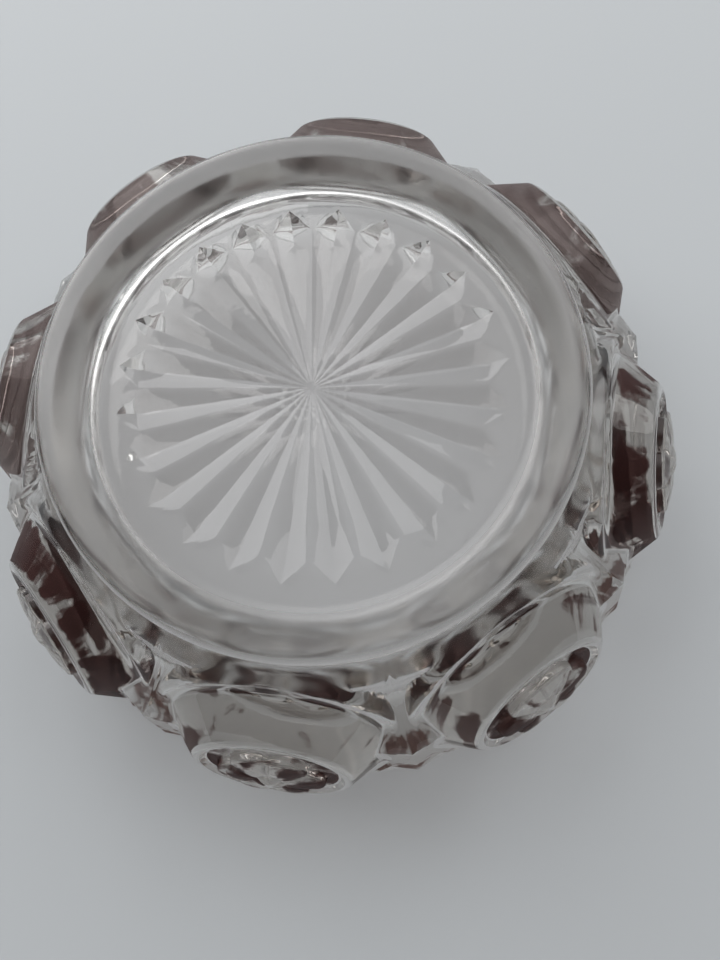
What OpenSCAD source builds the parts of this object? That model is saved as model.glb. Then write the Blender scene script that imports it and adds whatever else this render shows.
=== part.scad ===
// Pressed glass bowl with eight roundels, eight four-sided points and a 24 point star in the base.
// It stands on its rim, foot upwards, as it does to show the star. Z = 0 is the plane of the rim.

/* [Bowl] */
// Height from the rim to the top of the foot ring
height = 78; // [70:1:88]
// Outer diameter of the wall at the rim
rim_d = 202; // [196:1:210]
// Height of the upright band at the rim, under the pattern
rim_band_h = 4; // [3:0.5:6]
// Width of the flat that the rim stands on
rim_land_w = 2; // [1:0.1:3]
// Rounding of both edges of the rim
rim_round = 1.8; // [1:0.1:2.2]
// Diameter where the wall meets the shoulder below the foot
shoulder_d = 146; // [142:1:150]
// How far the wall swells out past a straight cone
wall_swell = 3.5; // [1.5:0.1:5]
// Thickness of the wall below its pattern
wall_t = 8; // [6:0.1:9.5]
// Thickness of the base below the star
base_t = 8; // [6.5:0.1:10]
// Radius between the inner floor and the inner wall
floor_round = 16; // [10:0.5:22]

/* [Foot] */
// Outer diameter of the foot ring
foot_d = 137; // [133:1:139]
// Radius of the foot ring's outer top edge
foot_round = 2.4; // [1.5:0.1:3.2]
// Depth of the star base inside the foot ring
foot_h = 7; // [5.5:0.1:8.5]
// Height of the foot ring above the shoulder
foot_rise = 10; // [8:0.1:11]
// Diameter of the flat base that the star is pressed in
base_flat_d = 107; // [104:1:112]

/* [Star] */
// Diameter across the tips of the star
star_d = 100; // [90:1:103]
// Number of points of the star
star_points = 24; // [16:1:32]
// Depth of each groove of the star at its deepest
star_depth = 1.9; // [1:0.1:2.6]
// Depth at the middle of the star, where all grooves meet
star_hub_depth = 1.2; // [0.6:0.1:2]

/* [Roundels] */
// Number of roundels around the wall
roundel_count = 8; // [7:1:8]
// Diameter of a roundel where it leaves the wall
roundel_d = 64; // [60:0.5:66]
// Diameter of the sharp lip on the front of a roundel
roundel_lip_d = 39; // [36:0.5:42]
// Height of the lip above the seat of the roundel
roundel_h = 12.5; // [10:0.1:14]
// Angle by which a roundel looks up towards the foot
roundel_lean = 22; // [19:1:25]
// Height of the centre of a roundel above the rim
roundel_z = 35; // [34:0.5:37]
// How deep the seat of a roundel lies in the wall
roundel_sink = 6; // [5:0.1:7]
// Width of the rounded shoulder outside the lip
roundel_round = 3; // [2:0.1:4]
// Width of the raised collar around a roundel
collar_w = 2.6; // [1.5:0.1:3.5]
// Height of the collar above the wall
collar_h = 1.3; // [0.6:0.1:2]
// Depth of the dish inside the lip
dish_depth = 1.2; // [0.6:0.1:2]
// Width of the slope from the lip to the floor of the dish
dish_slope_w = 1.6; // [1:0.1:2.2]

/* [Rosettes] */
// Number of petals of a rosette
petals = 6; // [5:1:8]
// Diameter over the petals
rosette_d = 29; // [26:0.5:31]
// Diameter of one petal
petal_d = 11; // [9:0.5:12]
// Height of the rosette above the floor of the dish
rosette_h = 4.4; // [3:0.1:6]
// Diameter of the flat middle of a rosette
rosette_flat_d = 14; // [12:0.5:15]
// How far the front of the petals slopes back at their tips
petal_drop = 1.8; // [1:0.1:2.4]

/* [Points] */
// Height above the rim of the tip of a point
point_z = 42; // [40:0.5:44]
// Height of a tip above the wall
point_h = 6.5; // [5:0.1:8]
// Height above the rim of the upper end of a point
point_top_z = 50; // [48:0.5:52]
// Height of the upper end above the wall
point_top_h = 1.6; // [1:0.1:2.4]
// Height above the rim of the lower end of a point
point_foot_z = 5; // [4.5:0.5:8]
// Height of the lower end above the wall
point_foot_h = 2; // [1:0.1:3]
// Half the width of a point, up to its hidden side corners
point_half_w = 14; // [12:0.5:16]
// Height of the side corners above the wall
point_side_h = 2.3; // [1:0.1:3.5]

/* [Spandrels] */
// Height above the rim of the lower corner of the sunk triangle over a point
spandrel_low_z = 49.5; // [48:0.5:52]
// Height above the rim of the upper side of the sunk triangle
spandrel_top_z = 63; // [61:0.5:64]
// Width of the upper side, between corners hidden under the collars
spandrel_w = 28; // [26:1:30]
// Depth of the sunk triangle
spandrel_depth = 1.5; // [0.8:0.1:2.2]

/* [Stain] */
// Thickness of the fired stain, drawn thicker than it is
stain_t = 0.3; // [0.2:0.05:0.5]
// Bare margin between the stain and the edges around it
stain_margin = 0.6; // [0.3:0.1:1]
// Width of the stained band on the flank of a roundel
stain_flank_w = 6; // [4:0.1:6.5]

/* [Hidden] */

// One overrun for every cut that runs out of the glass
over = 2;
rim_r = rim_d / 2;
shoulder_r = shoulder_d / 2;
foot_r = foot_d / 2;
star_r = star_d / 2;
pitch = 360 / roundel_count;

// The shoulder rises a little from the wall to the side of the foot ring
foot_step_share = 0.35;
foot_step_h = foot_step_share * foot_h;

// The wall is an arc from the rim band to the shoulder
shoulder_z = height - foot_rise - foot_step_h;
wall_chord = norm([rim_r - shoulder_r, shoulder_z - rim_band_h]);
wall_chord_lean = atan2(rim_r - shoulder_r, shoulder_z - rim_band_h);
wall_arc_r = (pow(wall_chord / 2, 2) + pow(wall_swell, 2)) / (2 * wall_swell);
wall_arc_x = (rim_r + shoulder_r) / 2 - (wall_arc_r - wall_swell) * cos(wall_chord_lean);
wall_arc_z = (rim_band_h + shoulder_z) / 2 - (wall_arc_r - wall_swell) * sin(wall_chord_lean);
function wall_r(z) = wall_arc_x + sqrt(pow(wall_arc_r, 2) - pow(z - wall_arc_z, 2));

star_z = height - foot_h;
floor_z = star_z - base_t;
foot_crown_r = foot_r - foot_round;
base_flat_r = base_flat_d / 2;

roundel_r = wall_r(roundel_z) - roundel_sink;
roundel_base_r = roundel_d / 2;
roundel_lip_r = roundel_lip_d / 2;
dish_floor_h = roundel_h - dish_depth;
petal_r = petal_d / 2;
petal_ring_r = rosette_d / 2 - petal_r;

arc_steps = 5;
edge_steps = 3;
slope_steps = 8;
$fn = 48;
roundel_sides = 24;
petal_sides = 13;
front_sides = 13;

// Points of an arc about [cx, cz], from angle a0 to angle a1
function arc_points(cx, cz, r, a0, a1, steps) =
    [for (i = [0 : steps]) let (a = a0 + (a1 - a0) * i / steps) [cx + r * cos(a), cz + r * sin(a)]];

// A point of the wall's surface, or h outside it, at height z
function wall_point(z, h) = [wall_r(z) + h, 0, z];

// Angle of the wall's arc at height z
function wall_angle(z) = asin((z - wall_arc_z) / wall_arc_r);

// Half section of the glass without its cavity, with the whole wall moved out by swell
module outer_section(swell) {
    wall_arc = arc_points(wall_arc_x, wall_arc_z, wall_arc_r + swell,
        wall_angle(rim_band_h), wall_angle(shoulder_z), arc_steps);
    rim_arc = arc_points(rim_r - rim_round, rim_round, rim_round, -90, 0, edge_steps);
    foot_arc = arc_points(foot_crown_r, height - foot_round, foot_round, 0, 90, edge_steps);
    polygon(concat(
        [[0, 0]], rim_arc, wall_arc,
        [[foot_r, shoulder_z + foot_step_h]],
        foot_arc,
        slope_points(),
        [[0, star_z]]));
}

// Points of the foot ring's inner side, a slow S curve from its crown down to the flat base
function slope_points() =
    [for (i = [1 : slope_steps]) let (w = i / slope_steps)
        [foot_crown_r - (foot_crown_r - base_flat_r) * w, star_z + foot_h * (1 + cos(180 * w)) / 2]];

// Half section of the cavity
floor_r = shoulder_r - wall_t;
rim_inner_r = rim_r - 2 * rim_round - rim_land_w;
inner_chord_lean = atan2(rim_inner_r - floor_r, floor_z);
module cavity_section() {
    // centre of the floor round, which touches the floor and the wall
    round_x = floor_r + floor_round * tan(inner_chord_lean) - floor_round / cos(inner_chord_lean);
    round_z = floor_z - floor_round;
    land_arc = arc_points(rim_inner_r + rim_round, rim_round, rim_round, 180 - inner_chord_lean, 270, edge_steps);
    polygon(concat(
        [[0, floor_z]],
        arc_points(round_x, round_z, floor_round, 90, inner_chord_lean, arc_steps),
        land_arc,
        [[rim_inner_r + rim_round, -over], [0, -over]]));
}

// The star: one cutter with a groove for each point, shallow at the tips, deepest near the valleys
star_valley_share = 0.88;
star_deep_share = 0.8;
module star_cut() {
    step = 360 / star_points;
    n = star_points;
    valley_r = star_valley_share * star_r;
    deep_r = star_deep_share * star_r;
    ring = function(r, z, turn) [for (i = [0 : n - 1]) [r * cos(i * step + turn), r * sin(i * step + turn), z]];
    // rings of points: tips and valleys on the base, their twins above it, groove bottoms, and the hub
    points = concat(
        ring(star_r, star_z, 0), ring(valley_r, star_z, step / 2),
        ring(star_r, star_z + over, 0), ring(valley_r, star_z + over, step / 2),
        ring(deep_r, star_z - star_depth, 0),
        [[0, 0, star_z - star_hub_depth], [0, 0, star_z + over]]);
    hub = 5 * n;
    cap = 5 * n + 1;
    before = function(i) (i + n - 1) % n;
    faces = concat(
        [for (i = [0 : n - 1]) [i, n + i, 4 * n + i]],
        [for (i = [0 : n - 1]) [i, 4 * n + i, n + before(i)]],
        [for (i = [0 : n - 1]) [4 * n + i, n + i, hub]],
        [for (i = [0 : n - 1]) [4 * n + i, hub, n + before(i)]],
        [for (i = [0 : n - 1]) [i, 2 * n + i, 3 * n + i, n + i]],
        [for (i = [0 : n - 1]) [n + before(i), 3 * n + before(i), 2 * n + i, i]],
        [for (i = [0 : n - 1]) [2 * n + i, cap, 3 * n + i]],
        [for (i = [0 : n - 1]) [3 * n + before(i), cap, 2 * n + i]]);
    polyhedron(points, faces);
}

// Puts its children on the seat of roundel i, with Z out of the wall
module on_roundel(i) {
    rotate([0, 0, -90 + pitch * (i - 1)])
        translate([roundel_r, 0, roundel_z])
            rotate([0, 90 - roundel_lean, 0])
                children();
}

// Truncated cone with a rounded shoulder, a lip and a shallow dish
root_share = 0.18;
round_steps = 2;
flank_angle = atan2(roundel_h - roundel_round, roundel_base_r - roundel_lip_r - roundel_round);
shoulder_arc = arc_points(roundel_lip_r, roundel_h - roundel_round, roundel_round,
    90 - flank_angle, 90, round_steps);
module roundel() {
    root_h = roundel_base_r * root_share;
    rotate_extrude($fn = roundel_sides)
        polygon(concat(
            [[0, -root_h], [roundel_base_r, -root_h], [roundel_base_r, 0]],
            shoulder_arc,
            [[roundel_lip_r - dish_slope_w, dish_floor_h], [0, dish_floor_h]]));
}

// Round petals around a middle disc, with a front that slopes back to their tips, all grown by skin
module rosette(skin) {
    body_h = over + rosette_h + skin;
    flat_r = rosette_flat_d / 2;
    back_slope = petal_drop / (rosette_d / 2 - flat_r);
    edge_r = rosette_d / 2 + over;
    translate([0, 0, dish_floor_h - over])
        intersection() {
            union() {
                cylinder(r = petal_ring_r, h = body_h, $fn = petal_sides);
                for (k = [0 : petals - 1]) rotate([0, 0, (k + 0.5) * 360 / petals])
                    translate([petal_ring_r, 0, 0])
                        cylinder(r = petal_r + skin, h = body_h, $fn = petal_sides);
            }
            rotate_extrude($fn = front_sides)
                polygon([[0, 0], [edge_r, 0], [edge_r, body_h - back_slope * (edge_r - flat_r)],
                    [flat_r, body_h], [0, body_h]]);
        }
}

// The collars are rings cut from a slightly larger bowl
module collars() {
    intersection() {
        rotate_extrude() outer_section(collar_h);
        for (i = [1 : roundel_count]) on_roundel(i)
            translate([0, 0, -roundel_base_r])
                cylinder(r = roundel_base_r + collar_w, h = 2 * roundel_base_r, $fn = roundel_sides);
    }
}

// Corners of a point, in the plane halfway between two roundels
point_tip = wall_point(point_z, point_h);
point_top = wall_point(point_top_z, point_top_h);
point_foot = wall_point(point_foot_z, point_foot_h);
point_left = wall_point(point_z, point_side_h) + [0, point_half_w, 0];
point_right = wall_point(point_z, point_side_h) - [0, point_half_w, 0];
point_root = wall_point(point_z, -wall_t / 2);
module between_roundels(i) {
    rotate([0, 0, -90 + pitch * (i - 0.5)])
        children();
}
module point() {
    polyhedron([point_tip, point_top, point_left, point_foot, point_right, point_root],
        [[0, 1, 2], [0, 2, 3], [0, 3, 4], [0, 4, 1], [5, 2, 1], [5, 3, 2], [5, 4, 3], [5, 1, 4]]);
}

// Triangles over the points, sunk into the wall by the same depth all over
module spandrels() {
    cut_l = wall_r(spandrel_low_z) + over - floor_r;
    difference() {
        for (i = [1 : roundel_count]) between_roundels(i)
            translate([floor_r, 0, 0]) rotate([90, 0, 90])
                linear_extrude(cut_l)
                    polygon([[0, spandrel_low_z], [spandrel_w / 2, spandrel_top_z],
                        [-spandrel_w / 2, spandrel_top_z]]);
        rotate_extrude() outer_section(-spandrel_depth);
    }
}

module bowl() {
    color("lightgray", 0.6)
        difference() {
            union() {
                difference() {
                    rotate_extrude() outer_section(0);
                    spandrels();
                }
                collars();
                for (i = [1 : roundel_count]) {
                    on_roundel(i) {
                        roundel();
                        rosette(0);
                    }
                    between_roundels(i) point();
                }
            }
            rotate_extrude() cavity_section();
            star_cut();
        }
}

// Stain over the floor of the dish and the whole rosette
module front_stain() {
    stain_r = roundel_lip_r - dish_slope_w - stain_margin;
    difference() {
        union() {
            translate([0, 0, dish_floor_h])
                cylinder(r = stain_r, h = stain_t, $fn = front_sides);
            rosette(stain_t);
        }
        rosette(0);
        translate([0, 0, dish_floor_h - roundel_h])
            cylinder(r = 2 * stain_r, h = roundel_h);
    }
}

// Band of stain round the flank, below the rounded shoulder
module flank_stain() {
    run = shoulder_arc[0] - [roundel_base_r, 0];
    along = run / norm(run);
    out = [along[1], -along[0]] * stain_t;
    high = shoulder_arc[0] - along * stain_margin;
    low = high - along * stain_flank_w;
    rotate_extrude($fn = roundel_sides)
        polygon([low, low + out, high + out, high]);
}

// Both stains of a roundel, kept off the ground around it and off the points at its sides
module roundel_stain(i) {
    color("#4a2c30")
        difference() {
            on_roundel(i) {
                front_stain();
                flank_stain();
            }
            rotate_extrude() outer_section(collar_h);
            between_roundels(i) point();
            between_roundels(i - 1) point();
        }
}

// Stain on the two lower faces of a point: a folded plate that ends short of the neighbours
stain_top_share = 0.04;
stain_low_share = 0.62;
stain_reach_share = 0.45;
module point_stain(i) {
    top = point_tip + (point_foot - point_tip) * stain_top_share;
    low = point_tip + (point_foot - point_tip) * stain_low_share;
    left = top + (point_left - point_tip) * stain_reach_share;
    right = top + (point_right - point_tip) * stain_reach_share;
    lift = [stain_t, 0, 0];
    color("#5a3a38")
        between_roundels(i)
            polyhedron([top, left, low, right, top + lift, left + lift, low + lift, right + lift],
                [[0, 2, 1], [0, 3, 2], [4, 5, 6], [4, 6, 7],
                    [0, 1, 5, 4], [1, 2, 6, 5], [2, 3, 7, 6], [3, 0, 4, 7]]);
}

bowl();
for (i = [1 : 8])
    roundel_stain(i);
for (i = [1 : 8])
    point_stain(i);
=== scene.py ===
import math

import bmesh
import bpy
import numpy as np
from mathutils import Matrix, Vector


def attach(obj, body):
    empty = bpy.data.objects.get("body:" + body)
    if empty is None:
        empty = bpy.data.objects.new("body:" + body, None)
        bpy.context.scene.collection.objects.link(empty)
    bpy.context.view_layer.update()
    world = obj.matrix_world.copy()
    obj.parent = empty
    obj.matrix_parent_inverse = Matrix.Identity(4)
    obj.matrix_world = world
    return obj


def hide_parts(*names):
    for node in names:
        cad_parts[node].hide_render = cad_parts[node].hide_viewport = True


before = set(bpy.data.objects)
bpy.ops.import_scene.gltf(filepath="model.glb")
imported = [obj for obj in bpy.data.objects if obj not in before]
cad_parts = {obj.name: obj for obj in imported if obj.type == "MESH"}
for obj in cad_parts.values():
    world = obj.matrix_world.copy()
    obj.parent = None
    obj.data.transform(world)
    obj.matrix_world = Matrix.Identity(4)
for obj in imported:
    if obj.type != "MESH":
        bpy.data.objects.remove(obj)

bl_info = {
    "name": "Pressed glass bowl",
    "version": (1, 0, 0),
    "blender": (4, 5, 0),
    "location": "View3D > Sidebar > Glass bowl",
    "description": "Builds a pressed glass bowl with roundels, points, a star base and fired stain",
    "category": "Add Mesh",
}

MM = 0.001
SECTORS = 8  # of the wall, each with a roundel in its middle
PITCH = 360 / SECTORS

# Heights and radii of the bowl in mm, as in the CAD model. Only BASE_R differs: there the slope inside the
# foot ring ends, and it lies 2.4 mm further in.
HEIGHT = 78.0
RIM_R, RIM_ROUND, RIM_LAND, BAND_Z = 101.0, 1.8, 2.0, 4.0
SHOULDER_R, SHOULDER_Z = 73.0, 65.55
FOOT_R, FOOT_ROUND, FOOT_Z = 68.5, 2.4, 68.0
BASE_R, STAR_Z, FLOOR_Z = 51.1, 71.0, 63.0
FLOOR_ROUND, WALL_T = 16.0, 8.0
SWELL = 3.5  # how far the wall's arc stands out from its chord
SHOULDER_BLEND = 1.6  # width over which the wall turns into the shoulder
ARC_SPARE = 6.0  # height past the shoulder up to which the arc is worked out, for that blend
SEAT_Z, SEAT_IN = 35.0, 6.0  # height of a roundel's seat, and how far inside the wall it lies

# Relief of the ground in mm. A pair is a ramp: where it is 0, and the width over which it rises from there to
# 1, downwards where that is negative. Distances round a roundel count from the edge of its seat.
RELIEF_TOP, RELIEF_LOW = (67.6, -1.6), (RIM_ROUND, 2.0)  # between the foot and the rim
COLLAR_H, COLLAR_END = 1.2, (2.6, 1.8)
RIDGE_H, RIDGE_AT, RIDGE_W = 0.45, 1.6, 0.8  # thin ridge on the collar
SUNK_SIDE, SUNK_LOW, SUNK_TOP = (2.9, 1.4), (47.0, 3.0), (64.2, -5.2)  # sunk triangle

# A point: its corners (out, across, up), and the widths over which its edges and its seat are rounded
TIP, TOP, SIDE, FOOT = (94.0, 0.0, 42.0), (84.6, 0.0, 50.0), (89.8, 14.0, 42.0), (102.7, 0.0, 5.0)
POINT_EDGE, POINT_SEAT = 0.25, 0.5
POINT_SINK, POINT_LOW = 8.0, (RIM_ROUND, 3.0)  # it sinks into the wall by this at the rim

# A rosette. Rings over a petal are shares of the outline's radius, and so are the places and widths on it.
PETAL_RINGS = (0.0, 0.1, 0.2, 0.32, 0.45, 0.58, 0.7, 0.8, 0.88)
PETAL_DIP, DIP_RAMP = 0.75, (0.25, 0.5)  # depth in mm of the dip between petals
BUTTON_H, BUTTON_W = 0.5, 0.2
GROOVE_D, GROOVE_AT, GROOVE_W = 0.6, 0.34, 0.1  # groove round the button
PETAL_SIDE, PETAL_TURN = 1.1, (25, 50, 72, 90)  # height of a petal's rounded edge in mm, and steps in degrees

# Profile of the rest of a roundel in mm, as (out, up) from the rosette's outline and the dish, from the edge
# of the dish, and from the lip, and then the steps in degrees of the rounding outside the lip
ROSETTE_FOOT = ((0.2, 0.45), (0.5, 0.1), (0.9, 0.0))
DISH_EDGE = ((-0.3, 0.0), (0.25, 0.12))
LIP = ((-0.45, -0.3), (-0.1, -0.03))
LIP_TURN = (82, 72, 60, 50, 42)

# The star, as shares of its radius and of the way from the middle to a groove's deepest place
VALLEY, DEEPEST = 0.88, 0.9
STAR_RINGS = (0.8, 0.6, 0.4, 0.2, 0.06)
RIDGE_ROUND = 0.55  # share of a ridge's height that is rounded

# Outer side of the foot ring, as (in, height), and how far in its top leans
FOOT_SIDE, FOOT_LEAN = ((0.0, FOOT_Z), (0.05, 68.5), (0.1, 71.0), (0.2, 73.5)), 0.2

# The mesh: columns along each side of a roundel's square field and right round the bowl, and steps along the
# profiles
COLUMNS = 36
ROUND = SECTORS * COLUMNS
FLANK_STEPS, FILLET_STEPS, CROWN_STEPS, SLOPE_STEPS = 7, 4, 8, 24
RIM_STEPS, WALL_STEPS, CORNER_STEPS, FLOOR_STEPS = 5, 11, 14, 8
MERGE = 2e-6  # vertices closer than this, in metres, become one
# Directions in degrees in which columns leave a roundel's right side, and heights at which they end
SIDE_DEG, SIDE_Z = (-45, -15, 0, 15, 27.5, 45), (RIM_ROUND, 25.0, SEAT_Z, 42.0, 50.0, FOOT_Z)


# Small helpers for shapes: every function works on whole arrays, in mm


def smooth_step(x):
    """0 below 0, 1 above 1, and 3x^2 - 2x^3 between."""
    x = np.clip(x, 0.0, 1.0)
    return x * x * (3 - 2 * x)


def ramp(x, start, width):
    """Smooth step from 0 at start to 1 a width further on, or further back if the width is negative."""
    return smooth_step((x - start) / width)


def soft_max(a, b, k):
    """The larger of a and b, with the corner between them rounded over the width k."""
    h = np.maximum(k - np.abs(a - b), 0.0) / k
    return np.maximum(a, b) + h * h * k / 4


def soft_min(a, b, k):
    """The smaller of a and b, rounded as in soft_max."""
    return -soft_max(-a, -b, k)


def arc(cx, cz, r, a0, a1, steps):
    """Points (cx + r cos a, cz + r sin a) for steps + 1 angles a from a0 to a1 degrees."""
    a = np.radians(np.linspace(a0, a1, steps + 1))
    return np.stack([cx + r * np.cos(a), cz + r * np.sin(a)], 1)


def turned(r, z):
    """A row of points right round the bowl: radius r at height z, each one number or one for each column."""
    a = np.radians(np.arange(ROUND) * 360.0 / ROUND)
    return np.stack([r * np.cos(a), r * np.sin(a), z * np.ones(ROUND)], -1)


def turn_z(points, degrees):
    """The points turned about Z, counter-clockwise from above."""
    a = math.radians(degrees)
    m = np.array([[math.cos(a), math.sin(a), 0], [-math.sin(a), math.cos(a), 0], [0, 0, 1]])
    return points @ m


def to_sector(points, i):
    """Points of a sector whose roundel faces +X, turned to be sector i, counted from -Y counter-clockwise."""
    return turn_z(points, -90 + PITCH * i)


def directions():
    """Angle in radians of each column round its roundel's axis, from the lower right corner of the field."""
    return np.radians(np.arange(4 * COLUMNS) * 90.0 / COLUMNS - 45.0)


def plane(a, b, c):
    """Unit normal of the plane through three points, and the plane's distance from the origin along it."""
    n = np.cross(np.subtract(b, a), np.subtract(c, a))
    n = n / np.linalg.norm(n)
    return n, float(np.dot(n, a))


# The wall's arc, from its chord between the rim band and the shoulder: radius, and centre (x, z)
CHORD = math.hypot(RIM_R - SHOULDER_R, SHOULDER_Z - BAND_Z)
CHORD_LEAN = math.atan2(RIM_R - SHOULDER_R, SHOULDER_Z - BAND_Z)
ARC_R = ((CHORD / 2) ** 2 + SWELL**2) / (2 * SWELL)
ARC_X = (RIM_R + SHOULDER_R) / 2 - (ARC_R - SWELL) * math.cos(CHORD_LEAN)
ARC_Z = (BAND_Z + SHOULDER_Z) / 2 - (ARC_R - SWELL) * math.sin(CHORD_LEAN)


def wall_radius(z):
    """Radius of the plain wall at height z: the smaller of the arc and the cone of the shoulder."""
    zz = np.clip(z, BAND_Z, SHOULDER_Z + ARC_SPARE)
    curved = ARC_X + np.sqrt(ARC_R**2 - (zz - ARC_Z) ** 2)
    sloped = SHOULDER_R - (z - SHOULDER_Z) * (SHOULDER_R - FOOT_R) / (FOOT_Z - SHOULDER_Z)
    return soft_min(curved, sloped, SHOULDER_BLEND)


class Field:
    """One sector of the outer wall: a roundel in the middle, half a point at each side.

    The roundel has its own frame: seat centre c, axis n out of the wall, t along the wall and u up it.
    """

    def __init__(self, s):
        self.s = s
        self.base_r = s.roundel_d / MM / 2
        self.lip_r = s.lip_d / MM / 2
        self.h = s.roundel_h / MM
        self.dish_h = self.h - s.dish_depth / MM
        lean = s.roundel_lean
        self.c = np.array([float(wall_radius(SEAT_Z)) - SEAT_IN, 0.0, SEAT_Z])
        self.n = np.array([math.cos(lean), 0.0, math.sin(lean)])
        self.t = np.array([0.0, 1.0, 0.0])
        self.u = np.array([-math.sin(lean), 0.0, math.cos(lean)])

    def outer(self, az, z):
        """Radius of the pattern's ground at azimuth az (degrees from the roundel's middle) and height z.

        The wall, plus a flat collar and a thin ridge round the roundel, less a sunk triangle beside the
        shoulder, and over it the faces of a point, each the radius at which that azimuth meets its plane.
        """
        r = wall_radius(z)
        a = np.radians(az)
        p = np.stack([r * np.cos(a), r * np.sin(a), z], -1) - self.c
        off = np.hypot(p @ self.t, p @ self.u) - self.base_r
        collar = COLLAR_H * (1 - ramp(off, *COLLAR_END))
        ridge = RIDGE_H * np.exp(-(((off - RIDGE_AT) / RIDGE_W) ** 2))
        sunk = ramp(off, *SUNK_SIDE) * ramp(z, *SUNK_LOW) * ramp(z, *SUNK_TOP)
        relief = collar + ridge - self.s.spandrel_depth / MM * sunk
        r = r + ramp(z, *RELIEF_TOP) * ramp(z, *RELIEF_LOW) * relief
        d = np.radians(PITCH / 2 - np.abs(az))  # from the middle of the point
        faces = []
        for corners in ((TIP, TOP, SIDE), (TIP, SIDE, FOOT)):
            n, away = plane(*corners)
            faces.append((away - n[2] * z) / (n[0] * np.cos(d) + n[1] * np.sin(d)))
        point = soft_min(*faces, POINT_EDGE) - POINT_SINK * (1 - ramp(z, *POINT_LOW))
        return soft_max(r, point, POINT_SEAT)

    def place(self, theta, rho, h):
        """Point at angle theta round the roundel's axis, rho off it and h up it, in the sector's frame."""
        across = (rho * np.cos(theta))[..., None] * self.t + (rho * np.sin(theta))[..., None] * self.u
        return self.c + across + h[..., None] * self.n

    def lobes(self, theta):
        """Outline radius of the rosette: the far side of a petal's circle, seen from the middle.

        Also the angle from the petal's middle, from -1 to 1 between its two neighbours.
        """
        petal_r = self.s.petal_d / MM / 2
        ring = self.s.rosette_d / MM / 2 - petal_r
        step = 2 * math.pi / self.s.petals
        psi = (theta + math.pi / 2) % step - step / 2
        return ring * np.cos(psi) + np.sqrt(petal_r**2 - (ring * np.sin(psi)) ** 2), psi / step * 2

    def roundel(self, theta):
        """Rings of the roundel from its middle to its flank: lists of (rho, h), each an array over theta.

        Petals rise as domes: height falls with the square of the distance to the outline and dips between
        petals, with a button in the middle and a groove round it. Then come the side of the rosette, the
        dish, its slope, the lip and the rounding outside it, which leads into the straight flank.
        """
        s = self.s
        lobe, phase = self.lobes(theta)
        one = np.ones_like(theta)
        rings = []
        for u in PETAL_RINGS:
            dip = PETAL_DIP * np.abs(phase) ** 4 * ramp(u, *DIP_RAMP)
            button = BUTTON_H * math.exp(-((u / BUTTON_W) ** 2))
            button -= GROOVE_D * math.exp(-(((u - GROOVE_AT) / GROOVE_W) ** 2))
            dome = self.dish_h + s.rosette_h / MM - s.petal_drop / MM * u * u
            rings.append((lobe * u, dome - dip + button))
        flat, edge = PETAL_RINGS[-1], rings[-1][1]
        for a in np.radians(PETAL_TURN):
            rings.append((lobe * (flat + (1 - flat) * math.sin(a)), edge - PETAL_SIDE * (1 - math.cos(a))))
        out, up = ROSETTE_FOOT[0]
        rings.append((lobe + out / 2, (edge - PETAL_SIDE + self.dish_h + up) / 2))
        for out, up in ROSETTE_FOOT:
            rings.append((lobe + out, (self.dish_h + up) * one))
        floor_r = self.lip_r - s.dish_slope / MM
        rings.append(((lobe + out + floor_r) / 2, self.dish_h * one))
        turn = s.roundel_round / MM
        plain = [(floor_r + out, self.dish_h + up) for out, up in DISH_EDGE]
        plain += [(self.lip_r + out, self.h + up) for out, up in LIP]
        for a in np.radians(LIP_TURN):
            plain.append((self.lip_r + turn * math.cos(a), self.h - turn + turn * math.sin(a)))
        return rings + [(rho * one, h * one) for rho, h in plain]

    def grid(self):
        """All rings of one sector, as an array (ring, column, xyz) that closes round the roundel.

        Inside: the roundel's rings down its flank to where the flank meets the ground, found by halving an
        interval. Outside: each column runs straight in azimuth and height from there to the field's edge.
        A fillet between them is a curve with the control points flank, corner and ground.
        """
        n = COLUMNS
        theta = directions()
        rings = self.roundel(theta)
        rho1, h1 = rings[-1]

        def flank(k):
            """Points of the flank's line, with k = 0 at its foot in the seat plane and 1 at its top."""
            return self.place(theta, self.base_r + (rho1 - self.base_r) * k, h1 * k)

        # an interval of k that holds the corner on every side, halved until it is far below a micron
        low, high, halvings = -0.6, 0.97, 30
        lo, hi = np.full(4 * n, low), np.full(4 * n, high)
        for _ in range(halvings):
            mid = (lo + hi) / 2
            p = flank(mid)
            az = np.degrees(np.arctan2(p[:, 1], p[:, 0]))
            out = np.hypot(p[:, 0], p[:, 1]) > self.outer(az, p[:, 2])
            hi = np.where(out, mid, hi)
            lo = np.where(out, lo, mid)
        meet = (lo + hi) / 2
        # the fillet takes at most half of the flank and two fifths of the ground's run
        flank_most, ground_most = 0.5, 0.4
        fillet = self.s.fillet / MM
        start = meet + np.minimum(fillet / np.hypot(rho1 - self.base_r, h1), (1 - meet) * flank_most)
        stack = [self.place(theta, rho, h) for rho, h in rings]
        for f in np.linspace(0, 1, FLANK_STEPS + 1)[1:]:
            stack.append(flank(1 + (start - 1) * f))
        base = flank(meet)
        az0, z0 = np.degrees(np.arctan2(base[:, 1], base[:, 0])), base[:, 2]
        # edge of the field: up the right side, along the top, down the left side and along the bottom
        half = PITCH / 2
        side = np.interp(np.degrees(theta[: n + 1]), SIDE_DEG, SIDE_Z)
        along = np.linspace(half, -half, n + 1)
        az1 = np.concatenate([np.full(n, half), along[:-1], np.full(n, -half), -along[:-1]])
        z1 = np.concatenate([side[:-1], np.full(n, FOOT_Z), side[::-1][:-1], np.full(n, RIM_ROUND)])

        def ground(v):
            """Points of the ground, with v = 0 at the flank and 1 at the edge of the field."""
            az = az0 + (az1 - az0) * v
            z = z0 + (z1 - z0) * v
            r = self.outer(az, z)
            a = np.radians(az)
            return np.stack([r * np.cos(a), r * np.sin(a), z], -1)

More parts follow.
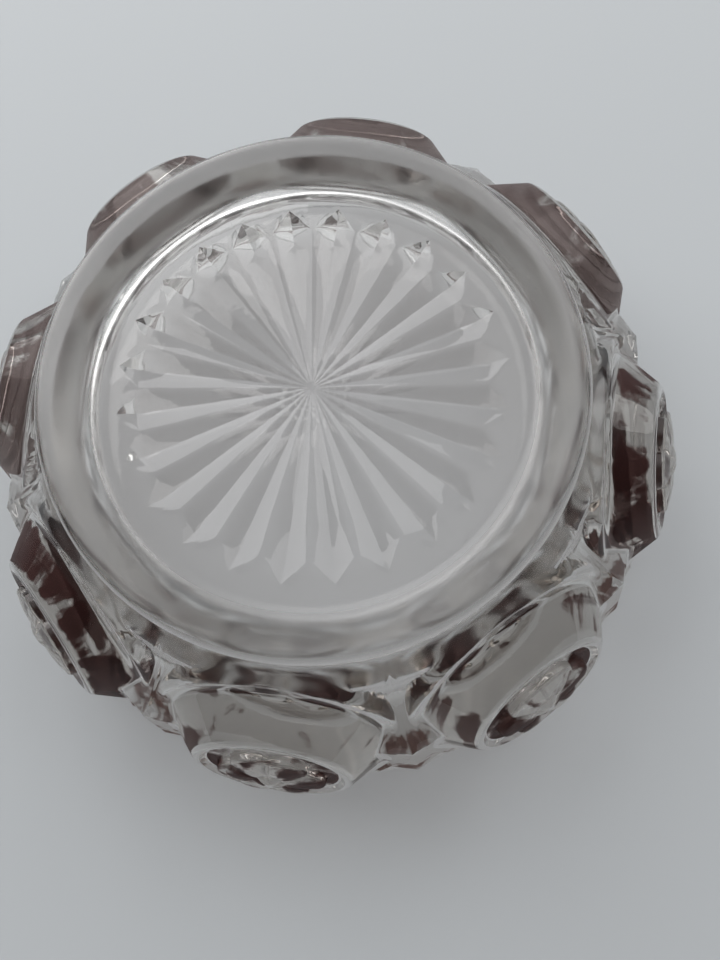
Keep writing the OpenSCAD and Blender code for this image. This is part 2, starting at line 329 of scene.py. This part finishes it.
        span = np.linalg.norm(ground(1.0) - base, axis=1)
        first = np.minimum(fillet / span, ground_most)
        up, down = stack[-1], ground(first)
        for f in np.linspace(0, 1, FILLET_STEPS + 1)[1:]:
            stack.append((1 - f) ** 2 * up + 2 * f * (1 - f) * base + f * f * down)
        for f in np.linspace(0, 1, self.s.field_rows + 1)[1:]:
            stack.append(ground(first + (1 - first) * f))
        return np.array(stack)


def ring_faces(rows, cols, close, start=0):
    """Quads between neighbouring rows of a grid of vertices, numbered row by row."""
    i = np.arange(rows - 1)[:, None] * cols + start
    j = np.arange(cols if close else cols - 1)[None, :]
    k = (j + 1) % cols
    return np.stack([i + j, i + k, i + cols + k, i + cols + j], -1).reshape(-1, 4)


def star_rows(s):
    """Rows of the base from its flat edge to the middle.

    The outline zigzags between tips and valleys. From it a short facet falls to the groove's deepest place,
    and a long one runs to the hub, so each groove is a V whose ridge stands at the valley's azimuth. The
    ridge is rounded: the height across a groove is part straight line, part quarter sine.
    """
    step = 360.0 / s.star_points
    az = np.arange(ROUND) * 360.0 / ROUND
    beta = np.radians(np.abs((az + step / 2) % step - step / 2))
    half = math.radians(step / 2)
    tip_r = s.star_d / MM / 2
    valley_r = VALLEY * tip_r
    depth, hub = s.star_depth / MM, s.hub_depth / MM

    def straight(ra, rb):
        """Polar radius of the straight line from (ra, 0) to (rb, half) at the angle beta."""
        bx, by = rb * math.cos(half), rb * math.sin(half)
        return ra * by / (np.cos(beta) * by - np.sin(beta) * (bx - ra))

    outline, deepest = straight(tip_r, valley_r), straight(DEEPEST * tip_r, valley_r)
    across = deepest * np.sin(beta) / (valley_r * math.sin(half))
    rise = (1 - RIDGE_ROUND) * across + RIDGE_ROUND * np.sin(np.pi / 2 * across)
    drop = depth * (1 - rise)
    rows = [
        turned((BASE_R + outline) / 2, STAR_Z),
        turned(outline, STAR_Z),
        turned((outline + deepest) / 2, STAR_Z - drop / 2),
        turned(deepest, STAR_Z - drop),
    ]
    rows += [turned(deepest * f, STAR_Z - (hub + (drop - hub) * f)) for f in STAR_RINGS]
    return rows + [turned(0.0, STAR_Z - hub)]


def base_rows(s):
    """Rows from the edge of the pattern up over the foot ring, down its slope and over the star.

    The slope is a slow S curve that dies out just outside the star's tips: with w from 0 at the ring's crown
    to 1 there, its height above the base is (1 - w)^3 (1 + 3w) of the ring's height.
    """
    crown_r = FOOT_R - FOOT_ROUND
    w = np.linspace(0, 1, SLOPE_STEPS + 1)[1:]
    slope_z = STAR_Z + (HEIGHT - STAR_Z) * (1 - w) ** 3 * (1 + 3 * w)
    crown = arc(crown_r, HEIGHT - FOOT_ROUND, FOOT_ROUND - FOOT_LEAN, 0, 90, CROWN_STEPS) + [0, FOOT_LEAN]
    side = [(FOOT_R - back, z) for back, z in FOOT_SIDE]
    slope = np.stack([crown_r + (BASE_R - crown_r) * w, slope_z], 1)
    return [turned(r, z) for r, z in np.concatenate([side, crown, slope])] + star_rows(s)


def inside_rows():
    """Rows from the edge of the pattern round the rim, up the inner wall and over the floor.

    The inner wall is a straight line that leans in, and a quarter round of the floor's corner touches it.
    """
    floor_r = SHOULDER_R - WALL_T
    rim_in = RIM_R - 2 * RIM_ROUND - RIM_LAND
    lean = math.atan2(rim_in - floor_r, FLOOR_Z)
    round_x = floor_r + FLOOR_ROUND * math.tan(lean) - FLOOR_ROUND / math.cos(lean)
    lean = math.degrees(lean)
    outer_edge = arc(RIM_R - RIM_ROUND, RIM_ROUND, RIM_ROUND, 0, -90, RIM_STEPS)
    inner_edge = arc(rim_in + RIM_ROUND, RIM_ROUND, RIM_ROUND, 270, 180 - lean, RIM_STEPS)
    corner = arc(round_x, FLOOR_Z - FLOOR_ROUND, FLOOR_ROUND, lean, 90, CORNER_STEPS)
    wall = np.linspace(inner_edge[-1], corner[0], WALL_STEPS + 1)[1:-1]
    floor = np.stack([np.linspace(round_x, 0, FLOOR_STEPS + 1)[1:], np.full(FLOOR_STEPS, FLOOR_Z)], 1)
    return [turned(r, z) for r, z in np.concatenate([outer_edge, inner_edge, wall, corner, floor])]


# Meshes and materials


def add_mesh(name, verts, faces, merge=MERGE):
    """A new object at the origin with these vertices in mm, doubles merged and faces turned outward."""
    mesh = bpy.data.meshes.new(name)
    mesh.from_pydata((verts * MM).tolist(), [], faces.tolist())
    bm = bmesh.new()
    bm.from_mesh(mesh)
    bmesh.ops.remove_doubles(bm, verts=bm.verts, dist=merge)
    bmesh.ops.dissolve_degenerate(bm, edges=bm.edges, dist=merge)
    bmesh.ops.recalc_face_normals(bm, faces=bm.faces)
    bm.to_mesh(mesh)
    bm.free()
    mesh.polygons.foreach_set("use_smooth", [True] * len(mesh.polygons))
    obj = bpy.data.objects.new(name, mesh)
    bpy.context.scene.collection.objects.link(obj)
    return obj


def add_node(tree, kind, inputs=None, links=None, **settings):
    """Adds a node, sets its properties and input values, and links inputs from given sockets."""
    node = tree.nodes.new(kind)
    for key, value in settings.items():
        setattr(node, key, value)
    for key, value in (inputs or {}).items():
        node.inputs[key].default_value = value
    for key, socket in (links or {}).items():
        tree.links.new(socket, node.inputs[key])
    return node


def linear(hex_colour):
    """An sRGB hex colour such as "a1b2c3" as a linear RGB tuple."""
    rgb = [int(hex_colour[i : i + 2], 16) / 255 for i in (0, 2, 4)]
    return tuple(c / 12.92 if c <= 0.04045 else ((c + 0.055) / 1.055) ** 2.4 for c in rgb)


def new_material(name):
    """An empty node material and its tree."""
    mat = bpy.data.materials.new(name)
    mat.use_nodes = True
    mat.node_tree.nodes.clear()
    return mat, mat.node_tree


def pressed_glass(s):
    """Clear soda lime glass, pressed in a mould and fire polished: smooth, slightly wavy, faintly warm.

    The foot ring and the shoulder have been rubbed dull. Rays from lamps and from matt surfaces pass straight
    through with a little loss, so that the table under the bowl is lit.
    """
    mat, tree = new_material("pressed_soda_glass")
    coords = add_node(tree, "ShaderNodeTexCoord")
    place = {"Vector": coords.outputs["Object"]}
    # waviness of the pressed skin, about 12 mm long, and the mould's finer grain, about 2.5 mm long
    wave = add_node(tree, "ShaderNodeTexNoise", {"Scale": 85.0, "Detail": 1.0, "Roughness": 0.4}, place)
    grain = add_node(tree, "ShaderNodeTexNoise", {"Scale": 400.0, "Detail": 1.0, "Roughness": 0.5}, place)
    # their heights are 0.5 mm and 0.06 mm, at a fifth of full strength
    long_wave = add_node(
        tree, "ShaderNodeBump", {"Strength": 0.2, "Distance": 0.5 * MM}, {"Height": wave.outputs["Fac"]}
    )
    bump = add_node(
        tree, "ShaderNodeBump", {"Strength": 0.2, "Distance": 0.06 * MM},
        {"Height": grain.outputs["Fac"], "Normal": long_wave.outputs["Normal"]},
    )
    # years of standing and wiping have dulled the foot ring and the shoulder, from about 54 mm off the axis
    # outwards and from about 65 mm up
    flat = add_node(
        tree, "ShaderNodeVectorMath", {1: (1, 1, 0)}, {0: coords.outputs["Object"]}, operation="MULTIPLY"
    )
    off_axis = add_node(tree, "ShaderNodeVectorMath", None, {0: flat.outputs["Vector"]}, operation="LENGTH")
    height = add_node(tree, "ShaderNodeSeparateXYZ", None, place)
    outside = add_node(
        tree, "ShaderNodeMapRange", {"From Min": 51.5 * MM, "From Max": 57 * MM},
        {"Value": off_axis.outputs["Value"]},
    )
    above = add_node(
        tree, "ShaderNodeMapRange", {"From Min": 63.5 * MM, "From Max": 66 * MM},
        {"Value": height.outputs["Z"]},
    )
    # the ring's outer side and the shoulder are touched less, and are not as dull as its top
    spared = add_node(
        tree, "ShaderNodeMapRange",
        {"From Min": 66 * MM, "From Max": 68 * MM, "To Min": 1.0, "To Max": 0.75},
        {"Value": off_axis.outputs["Value"]},
    )
    top = add_node(
        tree, "ShaderNodeMath", None, {0: outside.outputs["Result"], 1: above.outputs["Result"]},
        operation="MULTIPLY",
    )
    band = add_node(
        tree, "ShaderNodeMath", None, {0: top.outputs["Value"], 1: spared.outputs["Result"]},
        operation="MULTIPLY",
    )
    # fire polished glass has a roughness of about 0.03
    rubbed = add_node(
        tree, "ShaderNodeMapRange", {"To Min": 0.03, "To Max": s.foot_rub}, {"Value": band.outputs["Value"]}
    )
    shader = add_node(
        tree, "ShaderNodeBsdfPrincipled",
        {"Base Color": (*s.glass_colour, 1), "IOR": 1.52, "Transmission Weight": 1.0},
        {"Normal": bump.outputs["Normal"], "Roughness": rubbed.outputs["Result"]},
    )
    path = add_node(tree, "ShaderNodeLightPath")
    lit = add_node(
        tree, "ShaderNodeMath", None, {0: path.outputs["Is Shadow Ray"], 1: path.outputs["Is Diffuse Ray"]},
        operation="MAXIMUM",
    )
    # what one surface lets through of the light that falls on it
    through = add_node(tree, "ShaderNodeBsdfTransparent", {"Color": (*linear("f1f0f0"), 1)})
    both = add_node(
        tree, "ShaderNodeMixShader", None,
        {"Fac": lit.outputs["Value"], 1: shader.outputs["BSDF"], 2: through.outputs["BSDF"]},
    )
    body = add_node(
        tree, "ShaderNodeVolumeAbsorption", {"Color": (*s.body_colour, 1), "Density": s.body_density}
    )
    add_node(
        tree, "ShaderNodeOutputMaterial", None,
        {"Surface": both.outputs["Shader"], "Volume": body.outputs["Volume"]},
    )
    return mat


def fired_stain(name, dark, tint):
    """Thin metallic stain fired on glass: dark where whole, see through where it has worn to bare glass.

    The piece's own attribute "wear" says how much of it is gone at each place, "depth" how strong the rest
    is, and "stroke" carries the pattern's coordinates in metres.
    """
    mat, tree = new_material(name)
    wear = add_node(tree, "ShaderNodeAttribute", attribute_name="wear")
    depth = add_node(tree, "ShaderNodeAttribute", attribute_name="depth")
    stroke = add_node(tree, "ShaderNodeAttribute", attribute_name="stroke")
    # worn patches about 9 mm across, with ragged edges of about 1 mm
    patch = add_node(
        tree, "ShaderNodeTexNoise", {"Scale": 110.0, "Detail": 6.0, "Roughness": 0.6, "Distortion": 0.4},
        {"Vector": stroke.outputs["Vector"]},
    )
    # most of the noise lies between these levels, so a wear of 0 leaves nearly all the stain and 1 hardly any
    level = add_node(
        tree, "ShaderNodeMapRange", {"To Min": 0.36, "To Max": 0.64}, {"Value": wear.outputs["Fac"]}
    )
    above = add_node(
        tree, "ShaderNodeMath", None, {0: patch.outputs["Fac"], 1: level.outputs["Result"]},
        operation="SUBTRACT",
    )
    # a patch thins out towards its edge
    whole = add_node(
        tree, "ShaderNodeMapRange", {"From Min": 0.0, "From Max": 0.08}, {"Value": above.outputs["Value"]}
    )
    share = add_node(
        tree, "ShaderNodeMath", None, {0: whole.outputs["Result"], 1: depth.outputs["Fac"]},
        operation="MULTIPLY",
    )
    clear = add_node(tree, "ShaderNodeBsdfTransparent", {"Color": (*linear("f6f5f4"), 1)})
    # the stain lets most of the light through, tinted, and three tenths of it is seen as a dark skin
    film = add_node(tree, "ShaderNodeBsdfTransparent", {"Color": (*tint, 1)})
    skin = add_node(tree, "ShaderNodeBsdfPrincipled", {"Base Color": (*dark, 1), "Roughness": 0.3})
    stain = add_node(
        tree, "ShaderNodeMixShader", {"Fac": 0.3}, {1: film.outputs["BSDF"], 2: skin.outputs["BSDF"]}
    )
    both = add_node(
        tree, "ShaderNodeMixShader", None,
        {"Fac": share.outputs["Value"], 1: clear.outputs["BSDF"], 2: stain.outputs["Shader"]},
    )
    add_node(tree, "ShaderNodeOutputMaterial", None, {"Surface": both.outputs["Shader"]})
    return mat


def length(name, description, default):
    """A setting that is a length in metres."""
    return bpy.props.FloatProperty(name=name, description=description, default=default, unit="LENGTH")


def colour(name, description, default):
    """A setting that is a colour, given as sRGB hex."""
    return bpy.props.FloatVectorProperty(
        name=name, description=description, default=linear(default), subtype="COLOR"
    )


def shares(name, description, default):
    """A setting with one number for each roundel, from the one at -Y counter-clockwise."""
    return bpy.props.FloatVectorProperty(name=name, description=description, default=default, size=SECTORS)


class BOWL_PG_settings(bpy.types.PropertyGroup):
    """Sizes and colours that a user would change."""

    roundel_d: length("Roundel diameter", "Of a roundel at its foot", 0.064)
    lip_d: length("Lip diameter", "Of the sharp lip round a roundel's dish", 0.039)
    roundel_h: length("Roundel height", "From a roundel's seat to its lip", 0.0125)
    roundel_lean: bpy.props.FloatProperty(
        name="Roundel lean", description="Towards the foot", default=math.radians(22), subtype="ANGLE"
    )
    roundel_round: length("Roundel rounding", "Radius outside the lip", 0.003)
    dish_depth: length("Dish depth", "Below the lip", 0.0012)
    dish_slope: length("Dish slope", "Width of the dish's slope", 0.0016)
    petals: bpy.props.IntProperty(name="Petals", description="Number of petals of a rosette", default=6)
    rosette_d: length("Rosette", "Diameter over the petals", 0.029)
    petal_d: length("Petal", "Diameter of a petal", 0.011)
    rosette_h: length("Rosette height", "Above the dish", 0.0044)
    petal_drop: length("Petal drop", "How far a petal's front falls back", 0.0018)
    fillet: length("Fillet", "At a roundel's foot", 0.0011)
    spandrel_depth: length("Spandrel depth", "Of the sunk triangles", 0.0016)
    field_rows: bpy.props.IntProperty(
        name="Field rows", description="Rows of the mesh outside a roundel", default=16
    )
    star_points: bpy.props.IntProperty(name="Star points", description="Number of points", default=24)
    star_d: length("Star", "Diameter across the star's tips", 0.100)
    star_depth: length("Star depth", "Of a groove at its deepest", 0.0019)
    hub_depth: length("Hub depth", "Of the star's middle", 0.0012)
    glass_colour: colour("Glass", "Tint of each surface", "fbfaf9")
    body_colour: colour("Glass body", "Tint of the depth of the glass", "d0cdc8")
    body_density: bpy.props.FloatProperty(
        name="Body density", description="Absorption in the glass for each metre", default=15.0
    )
    foot_rub: bpy.props.FloatProperty(
        name="Foot rub", description="Roughness of the foot ring", default=0.3, subtype="FACTOR"
    )
    stain_dark: colour("Maroon stain", "Roundels' stain by reflected light", "4a2c2a")
    stain_tint: colour("Maroon tint", "Roundels' stain seen through", "a28e8b")
    point_dark: colour("Brown stain", "Points' stain by reflected light", "4a302c")
    point_tint: colour("Brown tint", "Points' stain seen through", "b89a92")
    flank_wear: shares(
        "Flank wear", "Share worn off each flank, below 0 for none",
        (0.75, 0.75, 0.3, -0.4, -0.4, -0.4, -0.4, 0.15),
    )
    flank_depth: shares(
        "Flank depth", "Strength of the stain left on each flank", (0.8, 0.8, 1.0, 0.6, 0.55, 0.55, 0.6, 1.0)
    )
    front_wear: shares(
        "Front wear", "Share worn off each rosette and dish", (0.55, 0.5, 1.4, 1.0, 0.7, 0.7, 1.0, 1.4)
    )
    point_wear: bpy.props.FloatProperty(
        name="Point wear", description="Share of a point's stain that has worn off", default=0.45,
        subtype="FACTOR",
    )
    floor_colour: colour("Floor", "Matt table", "bcbfc1")
    key_power: bpy.props.FloatProperty(name="Key", description="Large soft light", default=10.5, unit="POWER")
    fill_power: bpy.props.FloatProperty(
        name="Fill", description="Soft light at the other side", default=4.5, unit="POWER"
    )
    sky_top: bpy.props.FloatProperty(
        name="Window sky", description="Strength of the world towards the window", default=1.5
    )
    sky_low: bpy.props.FloatProperty(
        name="Room", description="Strength of the world away from the window", default=0.13
    )


# Pieces


class BOWL_OT_glass(bpy.types.Operator):
    """Adds the one pressed piece of glass."""

    bl_idname = "bowl.glass"
    bl_label = "Glass"

    def execute(self, context):
        s = context.scene.glass_bowl
        sharp = math.radians(24)  # edges sharper than this keep a crease
        sector = Field(s).grid()
        stacks = [to_sector(sector, i) for i in range(SECTORS)]
        stacks += [np.array(base_rows(s)), np.array(inside_rows())]
        verts, faces, start = [], [], 0
        for stack in stacks:
            rows, cols = stack.shape[:2]
            verts.append(stack.reshape(-1, 3))
            faces.append(ring_faces(rows, cols, True, start))
            start += rows * cols
        obj = add_mesh("glass", np.concatenate(verts), np.concatenate(faces))
        obj.data.set_sharp_from_angle(angle=sharp)
        obj.data.materials.append(pressed_glass(s))
        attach(obj, "root")
        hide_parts("bowl")
        return {"FINISHED"}


FILM_T = 0.1 * MM  # the stain itself is only a few hundredths of a millimetre thick


def film(name, node, patches, mat):
    """A closed film on both sides of patches of the glass surface, in place of the CAD node named.

    Each patch is its points, whether its columns close, for each point its wear and its pattern coordinates,
    and the strength of its stain.
    """
    verts, faces, wear, stroke, depth, start = [], [], [], [], [], 0
    for points, close, gone, along, strength in patches:
        rows, cols = points.shape[:2]
        verts.append(points.reshape(-1, 3))
        faces.append(ring_faces(rows, cols, close, start))
        wear.append(gone.reshape(-1))
        stroke.append(along.reshape(-1, 3))
        depth.append(np.full(rows * cols, strength))
        start += rows * cols
    obj = add_mesh(name, np.concatenate(verts), np.concatenate(faces), merge=0)
    for label, values in (("wear", wear), ("depth", depth)):
        layer = obj.data.attributes.new(label, "FLOAT", "POINT")
        layer.data.foreach_set("value", np.concatenate(values).astype(np.float32))
    layer = obj.data.attributes.new("stroke", "FLOAT_VECTOR", "POINT")
    layer.data.foreach_set("vector", (np.concatenate(stroke) * MM).astype(np.float32).ravel())
    solid = obj.modifiers.new("thickness", "SOLIDIFY")
    solid.thickness = FILM_T
    solid.offset = 0.0
    obj.data.materials.append(mat)
    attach(obj, "root")
    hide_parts(node)
    return obj


# Patches of a roundel's stain: rows of the sector's grid on the rosette and dish and on the flank, the radius
# in mm at which the pattern runs round each, and the scale of the pattern across it
FRONT = ((1, 19), 9.0, 1.0)
FLANK = ((26, 34), 22.0, 0.35)
PATTERN_W, PATTERN_APART = 12.0, 50.0  # mm of pattern across a patch, and from one roundel's to the next's
TOP_SPREAD, LEFT_SPREAD = 0.35, 0.7  # radians each way over which the wear of a flank's top and left dies out

# Wear added to a roundel's own, and the ramp that says where, from 0 at a patch's inner edge to 1 at its
# outer edge
FRONT_MORE, FRONT_SIDES = 0.3, -0.8  # a front keeps two patches, at its sides
BUTTON_MORE, BUTTON_RAMP = 0.4, (0.3, -0.3)
EDGE_MORE, EDGE_RAMPS = 0.6, ((0.14, -0.14), (0.9, 0.1))  # a flank is rubbed along its edges
LEFT_MORE, LEFT_RAMP = -1.3, (0.55, -0.3)  # it keeps a strip by the lip at its left

# Stain of a point: rows and columns of the sector's grid on its lower faces, and its wear, less at its foot
POINT_SKIP, POINT_COLS = 2, (3, 24)
POINT_MORE, POINT_RAMP, POINT_STRENGTH = 0.8, (20, 14), 0.8


class BOWL_OT_roundel_stains(bpy.types.Operator):
    """Adds the stain on the flank, the dish and the rosette of every roundel."""

    bl_idname = "bowl.roundel_stains"
    bl_label = "Roundel stains"

    def execute(self, context):
        s = context.scene.glass_bowl
        sector = Field(s).grid()
        theta = directions()
        mat = fired_stain("fired_maroon_stain", s.stain_dark, s.stain_tint)
        top = np.exp(-((np.angle(np.exp(1j * (theta - math.pi / 2))) / TOP_SPREAD) ** 2))
        left = np.exp(-((np.angle(np.exp(1j * (theta - math.pi))) / LEFT_SPREAD) ** 2))
        for i in range(SECTORS):
            patches = []
            for patch in (FRONT, FLANK):
                (first, last), ring_r, stretch = patch
                v = np.linspace(0, 1, last - first)[:, None]
                if patch is FRONT:
                    wear = s.front_wear[i] + FRONT_MORE + FRONT_SIDES * np.cos(theta) ** 2
                    wear = wear + BUTTON_MORE * ramp(v, *BUTTON_RAMP)
                    strength = 1.0
                else:
                    wear = s.flank_wear[i] * (1 + top) + LEFT_MORE * left * ramp(v, *LEFT_RAMP)
                    wear = wear + EDGE_MORE * sum(ramp(v, *edge) for edge in EDGE_RAMPS)
                    strength = s.flank_depth[i]
                out = PATTERN_W * stretch * v + PATTERN_APART * i
                round_x, round_y = ring_r * np.cos(theta), ring_r * np.sin(theta)
                stroke = np.stack(np.broadcast_arrays(round_x, round_y, out), -1)
                patches.append((to_sector(sector[first:last], i), True, wear, stroke, strength))
            obj = film(f"maroon_film_{i + 1}", f"roundel_stain_{i + 1}", patches, mat)
        return {"FINISHED"}


class BOWL_OT_point_stains(bpy.types.Operator):
    """Adds the stain on the lower faces of every point."""

    bl_idname = "bowl.point_stains"
    bl_label = "Point stains"

    def execute(self, context):
        s = context.scene.glass_bowl
        sector = Field(s).grid()
        first = len(sector) - s.field_rows + POINT_SKIP
        # the right side of one sector and, mirrored, the left side of the next, joined at the point's ridge
        right = sector[first:, np.arange(*POINT_COLS)].transpose(1, 0, 2)
        left = turn_z(right[:, ::-1] * [1, -1, 1], PITCH)
        patch = np.concatenate([right, left[:, 1:]], 1)
        mat = fired_stain("fired_brown_stain", s.point_dark, s.point_tint)
        for i in range(SECTORS):
            points = to_sector(patch, i)
            wear = s.point_wear + POINT_MORE * ramp(points[..., 2], *POINT_RAMP)
            patches = [(points, False, wear, points, POINT_STRENGTH)]
            obj = film(f"brown_film_{i + 1}", f"point_stain_{i + 1}", patches, mat)
        return {"FINISHED"}


# Stage. The pinhole camera is fitted to the star, the foot ring and the roundels of the photograph: the
# star's middle in the camera's frame in star radii, the star's radius in mm, the camera's two tilts in
# radians, the picture scale and the picture's height in pixels, and the turn of the bowl in degrees.
CAM_T, CAM_STAR = (-0.245, 0.472, -3.814), 50.0
CAM_TILT = (-0.236, -0.054)
CAM_F, CAM_PIXELS = 760.0, 960
CAM_TURN = 7.5
SENSOR = 36.0  # mm

FLOOR_W = 3.0  # metres
WINDOW = (-0.1, 0.74, 0.66)  # direction of the window's sky
# Place in metres and width of each lamp
KEY, FILL = ((-0.78, 0.63, 0.65), 1.25), ((0.66, 0.73, 0.77), 1.0)


def camera_matrix():
    """World matrix of the camera, from the fitted turn and place of the star plane in its own frame."""
    rx, ry = CAM_TILT
    cx, sx, cy, sy = math.cos(rx), math.sin(rx), math.cos(ry), math.sin(ry)
    mx = np.array([[1, 0, 0], [0, cx, -sx], [0, sx, cx]])
    my = np.array([[cy, 0, sy], [0, 1, 0], [-sy, 0, cy]])
    r = mx @ my
    place = -r.T @ (np.array(CAM_T) * CAM_STAR) + [0, 0, STAR_Z]
    m = np.eye(4)
    m[:3, :3] = r.T
    m[:3, 3] = place * MM
    return Matrix.Rotation(math.radians(CAM_TURN), 4, "Z") @ Matrix(m.tolist())


def studio_sky(s):
    """World light: a broad soft patch of window sky, which fades into a dim room."""
    world = bpy.data.worlds.new("studio")
    world.use_nodes = True
    tree = world.node_tree
    tree.nodes.clear()
    coords = add_node(tree, "ShaderNodeTexCoord")
    # nearly the cosine of the angle between the ray and the window
    toward = add_node(
        tree, "ShaderNodeVectorMath", {1: WINDOW}, {0: coords.outputs["Generated"]}, operation="DOT_PRODUCT"
    )
    strength = add_node(
        tree, "ShaderNodeMapRange",
        {"From Min": 0.4, "From Max": 1.0, "To Min": s.sky_low, "To Max": s.sky_top},
        {"Value": toward.outputs["Value"]}, interpolation_type="SMOOTHSTEP",
    )
    back = add_node(
        tree, "ShaderNodeBackground", {"Color": (*linear("f4f6f8"), 1)},
        {"Strength": strength.outputs["Result"]},
    )
    add_node(tree, "ShaderNodeOutputWorld", None, {"Surface": back.outputs["Background"]})
    return world


class BOWL_OT_stage(bpy.types.Operator):
    """Adds the floor, the lights and the camera."""

    bl_idname = "bowl.stage"
    bl_label = "Stage"

    def execute(self, context):
        scene = context.scene
        s = scene.glass_bowl
        corners = np.array([[-1, -1, 0], [1, -1, 0], [1, 1, 0], [-1, 1, 0]]) * FLOOR_W / MM / 2
        floor = add_mesh("floor", corners, np.array([[0, 1, 2, 3]]))
        mat, tree = new_material("matt_floor")
        shader = add_node(
            tree, "ShaderNodeBsdfPrincipled", {"Base Color": (*s.floor_colour, 1), "Roughness": 0.85}
        )
        add_node(tree, "ShaderNodeOutputMaterial", None, {"Surface": shader.outputs["BSDF"]})
        floor.data.materials.append(mat)
        cam = bpy.data.cameras.new("camera")
        cam.sensor_width = SENSOR
        cam.lens = CAM_F / CAM_PIXELS * SENSOR
        cam.clip_start = 0.01
        cam_obj = bpy.data.objects.new("camera", cam)
        cam_obj.matrix_world = camera_matrix()
        scene.collection.objects.link(cam_obj)
        scene.camera = cam_obj
        scene.world = studio_sky(s)
        for name, (at, size), power in (("key", KEY, s.key_power), ("fill", FILL, s.fill_power)):
            light = bpy.data.lights.new(name, "AREA")
            light.size = size
            light.energy = power
            obj = bpy.data.objects.new(name, light)
            aim = (-Vector(at)).to_track_quat("-Z", "Y").to_matrix().to_4x4()
            obj.matrix_world = Matrix.Translation(at) @ aim
            scene.collection.objects.link(obj)
        scene.view_settings.view_transform = "Standard"
        # light turns back and forth many times in thick glass before it leaves
        scene.cycles.max_bounces = 24
        scene.cycles.glossy_bounces = 20
        scene.cycles.transmission_bounces = 20
        scene.cycles.transparent_max_bounces = 24
        return {"FINISHED"}


class BOWL_PT_panel(bpy.types.Panel):
    """Lists the operators in the sidebar."""

    bl_idname = "BOWL_PT_panel"
    bl_label = "Glass bowl"
    bl_space_type = "VIEW_3D"
    bl_region_type = "UI"
    bl_category = "Glass bowl"

    def draw(self, context):
        for op in ("bowl.glass", "bowl.roundel_stains", "bowl.point_stains", "bowl.stage"):
            self.layout.operator(op)


CLASSES = (
    BOWL_PG_settings,
    BOWL_OT_glass,
    BOWL_OT_roundel_stains,
    BOWL_OT_point_stains,
    BOWL_OT_stage,
    BOWL_PT_panel,
)


def register():
    """Registers the classes and the scene's settings."""
    for cls in CLASSES:
        bpy.utils.register_class(cls)
    bpy.types.Scene.glass_bowl = bpy.props.PointerProperty(type=BOWL_PG_settings)


def unregister():
    """Removes what register added."""
    del bpy.types.Scene.glass_bowl
    for cls in reversed(CLASSES):
        bpy.utils.unregister_class(cls)


def main():
    """Builds the bowl."""
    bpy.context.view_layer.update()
    register()
    bpy.ops.bowl.glass()
    bpy.ops.bowl.roundel_stains()
    bpy.ops.bowl.point_stains()
    bpy.ops.bowl.stage()


if __name__ == "__main__":
    main()
